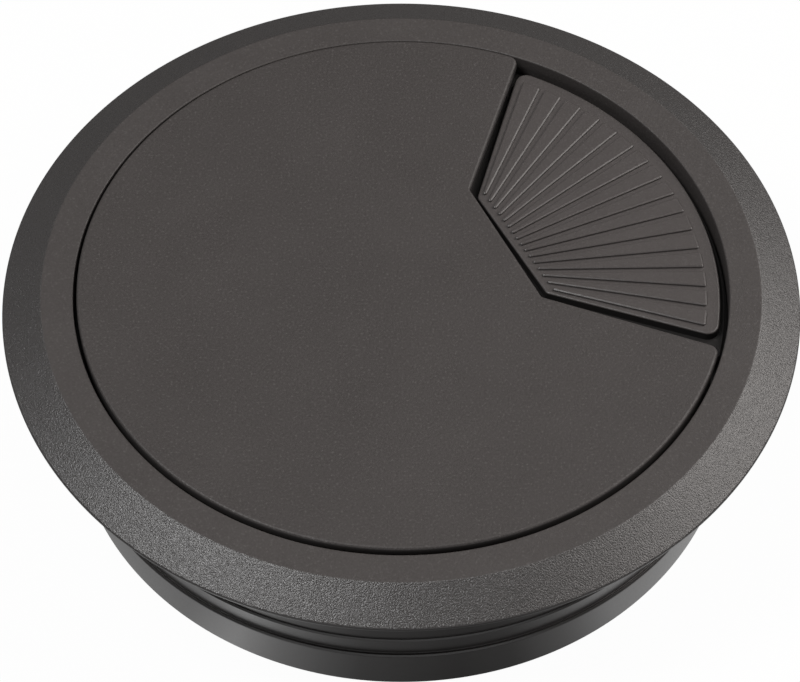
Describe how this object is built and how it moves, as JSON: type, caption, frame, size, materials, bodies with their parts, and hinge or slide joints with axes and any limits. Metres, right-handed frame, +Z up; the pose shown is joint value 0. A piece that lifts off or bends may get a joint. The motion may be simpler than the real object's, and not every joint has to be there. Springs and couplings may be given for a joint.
{
  "type": "desk cable grommet",
  "caption": "Round desk cable grommet: a flanged liner with a grip-ringed tube, a turning lid with a fan-shaped cable outlet, and a ribbed shutter under the lid that closes it.",
  "frame": {"origin": "on the common axis, at the desk top under the flange, where the tube enters the desk hole", "axes": "+Z up out of the desk along the common axis, +X to the right and +Y away from the viewer of the picture"},
  "size_m": [0.093, 0.093, 0.0246],
  "materials": {
    "liner_plastic": "grained charcoal on the flange's bevel, finely matt on the ring, plain moulded on the tube",
    "lid_plastic": "finely matt charcoal",
    "shutter_plastic": "finely matt charcoal"
  },
  "bodies": {
    "liner": {"liner": "liner_plastic"},
    "lid": {"lid": "lid_plastic"},
    "shutter": {"shutter": "shutter_plastic"}
  },
  "joints": [
    {"name": "lid_swivel", "type": "hinge", "parent": "liner", "child": "lid", "pos_m": [0, 0, 0], "axis": [0, 0, 1], "continuous": true},
    {"name": "shutter_turn", "type": "hinge", "parent": "lid", "child": "shutter", "pos_m": [0, 0, 0], "axis": [0, 0, 1], "range_deg": [-1.85, 83.15]}
  ]
}
